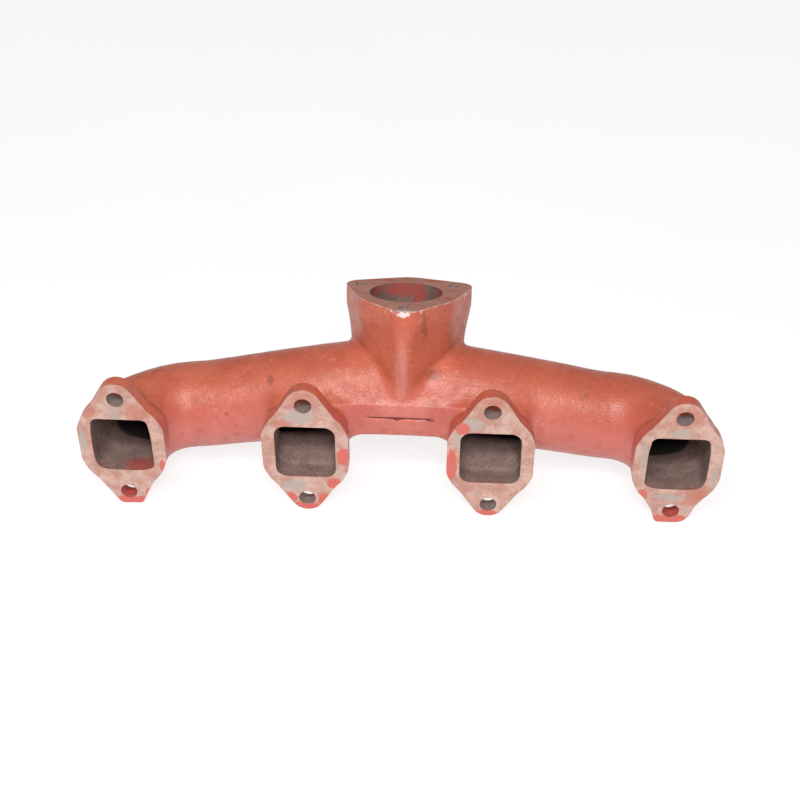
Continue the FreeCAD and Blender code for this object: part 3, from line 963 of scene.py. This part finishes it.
def port_face():
    m = Nodes("machined_port_face")
    cutter = m.noise(0.5, 4.0, 0.7, stretch=(0.16, 1, 3.0))
    cross = m.noise(0.6, 4.0, 0.7, stretch=(3.0, 1, 0.25), shift=(4, 0, 9))
    cloud = m.noise(0.09, 5.0, 0.7, shift=(9, 9, 9))
    grit = m.noise(0.9, 4.0, 0.75, shift=(2, 6, 4))
    colour = m.mix(m.ramp(cloud, 0.38, 0.62), linear(184, 132, 118), linear(206, 170, 156))
    colour = m.over(colour, m.ramp(cutter, 0.46, 0.64), 0.26, (172, 118, 102))
    colour = m.over(colour, m.ramp(cross, 0.52, 0.66), 0.35, (214, 190, 180))
    colour = m.over(colour, m.ramp(grit, 0.55, 0.68), 0.55, (150, 118, 108))
    grey = m.ramp(m.noise(0.16, 4.0, 0.7, shift=(60, 1, 2)), 0.55, 0.64)
    colour = m.over(colour, grey, 0.5, (168, 150, 142))
    bare = m.spots(BARE_PLACES, ragged=0.55, grain=0.22, soft=0.35)
    colour = m.over(colour, bare, 0.8, (172, 160, 152))
    film = m.spots(FILM_PLACES, ragged=0.55, grain=0.25, soft=0.4)
    colour = m.over(colour, film, 0.6, (184, 104, 86))
    paint = m.spots(PAINT_PLACES, ragged=0.45, grain=0.16, soft=0.14)
    flecks = m.both(m.ramp(m.noise(0.42, 3.0, 0.7, shift=(7, 3, 1)), 0.68, 0.71), 0.8)
    paint = m.math("MAXIMUM", paint, flecks)
    colour = m.over(colour, paint, 0.9, (196, 88, 76))
    rough = m.mix_value(paint, m.mix_value(m.ramp(cutter, 0.4, 0.7), 0.40, 0.58), 0.6)
    metal = m.both(m.math("SUBTRACT", 1.0, paint), 0.35)
    normal = m.bump(cutter, 0.06, 0.7)
    normal = m.bump(cross, 0.05, 0.5, before=normal)
    normal = m.bump(paint, 0.15, 0.6, before=normal)
    return m.finish(colour, rough, normal, metal)


def outlet_face():
    m = Nodes("machined_outlet_face")
    rings = m.noise(0.5, 3.0, 0.6, stretch=(0.35, 2.4, 1))
    cloud = m.noise(0.09, 4.0, 0.65, shift=(2, 9, 4))
    colour = m.mix(m.ramp(cloud, 0.35, 0.68), linear(168, 104, 84), linear(186, 122, 100))
    colour = m.over(colour, m.ramp(rings, 0.50, 0.68), 0.4, (158, 112, 96))
    edge = m.spots(OUTLET_CHIPS, ragged=0.6, grain=0.55, soft=0.2)
    colour = m.over(colour, edge, 0.85, (212, 200, 196))
    red = m.spots(OUTLET_PAINT, ragged=0.6, grain=0.35, soft=0.25)
    colour = m.over(colour, red, 0.85, (178, 66, 54))
    rough = m.mix_value(m.ramp(rings, 0.4, 0.7), 0.42, 0.6)
    normal = m.bump(rings, 0.06, 0.6)
    return m.finish(colour, rough, normal, 0.3)


def raw_passage():
    m = Nodes("raw_passage")
    grain = m.noise(0.8, 5.0, 0.75)
    cloud = m.noise(0.12, 4.0, 0.6, shift=(5, 5, 5))
    colour = m.mix(m.ramp(cloud, 0.35, 0.68), linear(118, 94, 88), linear(136, 110, 102))
    colour = m.over(colour, m.ramp(grain, 0.54, 0.66), 0.65, (168, 142, 132))
    dark = m.noise(1.0, 3.0, 0.7, shift=(44, 3, 21))
    colour = m.over(colour, m.ramp(dark, 0.54, 0.66), 0.65, (64, 50, 46))
    # Painted shadow: past about 37 to 40 mm behind the ports the passage goes near-black, standing for
    # the shadow that each port's upper lip casts inside; parts higher than 36 to 46 mm are left out.
    depth = m.math("ADD", m.y, m.math("MULTIPLY", m.noise(0.3, 3.0, 0.6, shift=(6, 6, 1)), 3.0))
    painted_lip_shadow = m.both(m.ramp(depth, 37.0, 40.0), m.ramp(m.z, 46.0, 36.0))
    colour = m.over(colour, painted_lip_shadow, 0.95, (20, 15, 14))
    mouth = m.math("ADD", m.y, m.math("MULTIPLY", m.noise(0.22, 4.0, 0.65, shift=(8, 1, 6)), 16.0))
    spray = m.both(m.ramp(mouth, 11.5, 6.5), 0.7)
    colour = m.mix(spray, colour, linear(134, 70, 58))
    throat = m.ramp(above_outlet(m), -26.0, -8.0)
    colour = m.over(colour, throat, 0.35, (70, 44, 42))
    paint = m.spots(INSIDE_PAINT, ragged=0.8, grain=0.3, soft=0.4)
    colour = m.over(colour, paint, 0.75, (164, 62, 54))
    normal = m.bump(grain, 0.5, 0.8)
    normal = m.bump(m.noise(0.35, 3.0, 0.6, shift=(1, 9, 2)), 0.9, 0.5, before=normal)
    return m.finish(colour, 0.78, normal)


def drilled_hole():
    m = Nodes("drilled_hole")
    turns = m.noise(0.9, 3.0, 0.6, stretch=(0.4, 3.0, 0.4))
    colour = m.mix(m.ramp(turns, 0.4, 0.65), linear(128, 112, 106), linear(172, 156, 148))
    paint = m.spots(HOLE_PAINT, ragged=0.4, grain=0.3, soft=0.3)
    colour = m.over(colour, paint, 0.9, (176, 64, 52))
    metal = m.both(m.math("SUBTRACT", 1.0, paint), 0.4)
    normal = m.bump(turns, 0.10, 0.7)
    return m.finish(colour, 0.5, normal, metal)


def port_place(number, u, v, depth=0.0):
    """A place on a port's face, from the port's centre."""
    return (PORT_X[number - 1] + u, depth, v)


def port_spots(places):
    """Spots on the port faces: port, place across and up from its centre, half width and height."""
    return [(port_place(port, u, v), (wide, 3.0, high)) for port, u, v, wide, high in places]


def outlet_place(u, v, drop=0.0):
    """A place on the outlet's face: to the right, towards the back, and below the face."""
    place = OUTLET_CENTRE + np.array([u, 0, 0]) + OUTLET_BACK * v - OUTLET_UP * drop
    return tuple(place)


STAIN_PLACES = [
    ((15.0, 29.0, 80.0), (1.5, 6.0, 8.0)), ((21.0, 30.0, 43.0), (5.0, 6.0, 3.0)),
    ((8.5, 26.0, 57.5), (1.8, 4.0, 1.2)),
    ((-84.0, 33.0, 33.0), (2.5, 6.0, 2.0)), ((118.0, 38.0, 27.0), (3.0, 6.0, 2.0)),
    ((-98.0, 30.0, 34.0), (4.0, 6.0, 1.6)),
]
CHIP_PLACES = [
    (outlet_place(0.0, -46.5, 2.0), (5.0, 3.0, 1.8)), (outlet_place(-9.0, -43.5, 1.4), (3.0, 3.0, 1.2)),
    (outlet_place(13.0, -41.5, 1.6), (2.4, 3.0, 1.6)), (outlet_place(36.0, 5.0, 1.4), (3.0, 3.0, 1.0)),
]
# The painted shadow under the fin, along its crack: centre and half sizes.
CRACK_AND_FIN_SHADOW_PLACES = [
    ((-12.5, 20.5, 17.2), (8.5, 4.0, 0.8)), ((-1.5, 20.5, 16.6), (5.0, 4.0, 1.0)),
    ((9.0, 20.5, 16.9), (8.0, 4.0, 0.8)), ((20.0, 20.5, 16.2), (6.5, 4.0, 0.8)),
]
TIDE_PLACES = [
    ((-21.0, 22.0, 21.0), (1.0, 4.0, 5.0)), ((24.0, 22.0, 14.0), (1.0, 4.0, 5.0)),
    ((-34.0, 24.0, 8.0), (1.2, 3.0, 1.2)), ((-112.0, 24.0, 12.0), (1.6, 3.0, 1.6)),
]
# Painted highlights on the neck ridge, the lip above the fin and the flange tops: centre and half
# sizes.
PAINTED_HIGHLIGHT_PLACES = [
    ((1.0, 22.0, 50.0), (4.0, 8.0, 24.0)), ((0.0, 20.0, 24.0), (20.0, 4.0, 5.0)),
    ((-60.0, 8.0, 40.0), (6.0, 6.0, 6.0)), ((-170.0, 10.0, 36.0), (8.0, 7.0, 6.0)),
    ((170.0, 10.0, 36.0), (8.0, 7.0, 6.0)), ((60.0, 8.0, 40.0), (6.0, 6.0, 6.0)),
]
BARE_PLACES = port_spots([
    (1, -2.0, 26.0, 3.5, 5.0), (1, -25.0, 3.0, 2.2, 9.0), (2, -3.0, 29.0, 9.0, 5.5),
    (2, -8.0, -27.0, 8.0, 4.5), (3, -11.0, 27.0, 6.0, 5.0), (3, -21.0, 16.0, 1.8, 7.0),
    (4, -1.0, 26.0, 5.0, 3.5), (4, -22.0, 6.0, 1.8, 12.0), (4, -2.0, -26.0, 11.0, 2.5),
    (4, 24.0, -8.0, 1.8, 10.0),
])
FILM_PLACES = port_spots([
    (1, 12.0, 27.0, 7.0, 7.0), (1, -18.0, 27.0, 4.0, 5.0), (2, 0.0, 42.0, 9.0, 6.0),
    (3, 0.0, 42.0, 8.0, 6.0), (4, 2.0, 38.0, 10.0, 8.0), (4, 16.0, -24.0, 9.0, 9.0),
    (2, -14.0, 22.0, 6.0, 4.0), (2, 12.0, -36.0, 5.0, 4.0),
])
PAINT_PLACES = port_spots([
    (1, 2.0, -47.0, 14.0, 6.5), (1, 14.5, -40.0, 4.0, 6.0), (2, -2.0, -46.5, 11.0, 6.0),
    (2, -11.0, -37.5, 4.4, 4.6), (2, 12.0, -39.0, 4.6, 5.4), (3, -1.0, -46.5, 10.0, 4.6),
    (4, -7.0, -47.0, 13.0, 5.6), (4, 6.0, -45.0, 4.6, 4.6), (2, 24.5, -2.0, 4.4, 7.0),
    (2, 18.5, -24.5, 5.4, 4.0), (3, -24.6, -6.0, 3.6, 12.0), (3, -18.5, 23.5, 5.0, 4.6),
    (4, -20.5, -24.5, 4.2, 4.4), (1, 24.5, -15.0, 1.8, 5.0),
])
OUTLET_CHIPS = [
    (outlet_place(0.0, -44.5), (6.5, 2.4, 3.0)), (outlet_place(-9.0, -42.0), (3.0, 2.0, 3.0)),
    (outlet_place(14.0, -40.0), (2.5, 1.6, 3.0)),
]
OUTLET_PAINT = [
    (outlet_place(-20.0, 30.0), (12.0, 4.0, 4.0)), (outlet_place(20.0, 31.0), (9.0, 3.0, 3.0)),
    (outlet_place(27.0, -12.0), (3.0, 4.0, 3.0)),
]
INSIDE_PAINT = [
    (port_place(1, 9.0, -18.0, 6.0), (10.0, 9.0, 5.0)),
    (outlet_place(-5.0, 23.0, 4.0), (12.0, 6.0, 5.0)), (outlet_place(8.0, 22.0, 8.0), (5.0, 6.0, 8.0)),
    (outlet_place(22.0, 8.0, 5.0), (5.0, 8.0, 6.0)), (outlet_place(-20.0, 12.0, 3.0), (5.0, 7.0, 3.0)),
]
HOLE_PAINT = [
    (port_place(1, 0.0, -BOLT_HEIGHT, 6.0), (8.0, 8.0, 8.0)),
    (port_place(4, 0.0, -BOLT_HEIGHT, 6.0), (8.0, 8.0, 8.0)),
    (port_place(3, 0.0, BOLT_HEIGHT + 5, 6.0), (6.0, 8.0, 5.0)),
]

MATERIALS = [painted_casting(), raw_passage(), drilled_hole(), port_face(), outlet_face()]


# ------------------------ pieces


def build_casting():
    for node, part in cut_into_pieces().items():
        piece = in_metres(part, node + "_cast")
        for material in MATERIALS:
            piece.data.materials.append(material)
        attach(piece, "root")
        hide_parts(node)


def flash_material():
    m = Nodes("torn_flash")
    tear = m.noise(0.6, 4.0, 0.7)
    colour = m.mix(m.ramp(tear, 0.40, 0.62), linear(70, 40, 38), linear(168, 66, 54))
    normal = m.bump(tear, 0.4, 0.8)
    return m.finish(colour, 0.7, normal)


def build_flash():
    """The ragged fin on the parting line: a thin strip whose free edge is torn."""
    low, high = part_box("parting_flash")
    first_x = low.x * 1000
    length = (high.x - low.x) * 1000
    middle_z = (low.z + high.z) / 2 * 1000
    front = low.y * 1000
    rng = np.random.default_rng(5)
    count = 90
    longest = 2.5
    buried = 1.6
    mesh = bmesh.new()
    rows = []
    for index in range(count + 1):
        share = index / count
        x = first_x + length * share
        notch = math.exp(-(((x + 1.0) / 1.6) ** 2))
        reach = 1.9 + 0.4 * math.sin(share * 17.0) * math.sin(share * 5.0) + 0.25 * rng.uniform(-1, 1)
        reach = min(reach + 0.6 * notch, longest) * min(1.0, 10 * share + 0.3, 10 * (1 - share) + 0.3)
        wave = 0.35 * math.sin(share * 9.0 + 1.0) + 0.15 * rng.uniform(-1, 1) - 0.6 * notch
        thick = 0.45 + 0.12 * rng.uniform(-1, 1)
        surface = LOG_Y - math.sqrt(LOG_CENTRE_RADIUS ** 2 - (middle_z - log_centre(x, 1)) ** 2)
        tip = max(front + 0.02, surface - reach)
        ring = []
        for y, z in (
            (surface + buried, middle_z - thick), (tip + 0.1, middle_z + wave - thick),
            (tip, middle_z + wave), (tip + 0.15, middle_z + wave + thick),
            (surface + buried, middle_z + thick),
        ):
            ring.append(mesh.verts.new((x / 1000, y / 1000, z / 1000)))
        rows.append(ring)
    for before, after in zip(rows, rows[1:]):
        for index in range(len(before)):
            follow = (index + 1) % len(before)
            mesh.faces.new((before[index], before[follow], after[follow], after[index]))
    mesh.faces.new(rows[0][::-1])
    mesh.faces.new(rows[-1])
    bmesh.ops.recalc_face_normals(mesh, faces=mesh.faces[:])
    data = bpy.data.meshes.new("parting_flash_torn")
    mesh.to_mesh(data)
    mesh.free()
    data.materials.append(flash_material())
    piece = add_object("parting_flash_torn", data)
    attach(piece, "root")
    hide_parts("parting_flash")


build_casting()
build_flash()


# ------------------------ floor, light and camera


def floor_material():
    """A light table: a pale sheet lit from below, so that it stays white and nearly shadowless."""
    m = Nodes("pale_floor")
    tone = m.noise(0.004, 2.0, 0.5)
    m.shader.inputs["Emission Color"].default_value = (1, 1, 1, 1)
    m.shader.inputs["Emission Strength"].default_value = 0.80
    return m.finish(m.mix(tone, (0.20, 0.20, 0.20, 1), (0.24, 0.24, 0.24, 1)), 0.95)


def build_floor():
    half = 6.0
    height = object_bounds()[0][2]
    mesh = bpy.data.meshes.new("studio_floor")
    signs = ((-1, -1), (1, -1), (1, 1), (-1, 1))
    mesh.from_pydata([(half * u, half * v, height) for u, v in signs], [], [(0, 1, 2, 3)])
    mesh.materials.append(floor_material())
    floor = add_object("studio_floor", mesh)


def area_light(name, place, aim, size, power):
    data = bpy.data.lights.new(name, "AREA")
    data.shape = "RECTANGLE"
    data.size, data.size_y = size
    data.energy = power
    light = add_object(name, data)
    light.location = place
    heading = Vector(aim) - Vector(place)
    light.rotation_euler = heading.to_track_quat("-Z", "Y").to_euler()


def build_light():
    world = bpy.data.worlds.new("studio")
    world.use_nodes = True
    sky = world.node_tree.nodes["Background"].inputs
    sky["Color"].default_value = (1, 1, 1, 1)
    sky["Strength"].default_value = 0.27
    bpy.context.scene.world = world
    area_light("key", (-0.10, -0.80, 1.15), (0, 0.04, 0), (0.9, 0.20), 16)
    area_light("front_fill", (0.12, -1.05, 1.05), (0, 0, 0), (0.35, 0.2), 8)


def build_camera():
    """Above and in front of the ports, a little to the right."""
    data = bpy.data.cameras.new("camera")
    data.sensor_width = 36.0
    data.lens = 58.40
    camera = add_object("camera", data)
    camera.location = (0.035829, -0.642358, 0.518724)
    tilt, roll, turn = 53.6090, -0.0953, 3.1239
    camera.rotation_euler = [math.radians(angle) for angle in (tilt, roll, turn)]
    bpy.context.scene.camera = camera


build_floor()
build_light()
build_camera()
bpy.context.scene.view_settings.view_transform = "Standard"
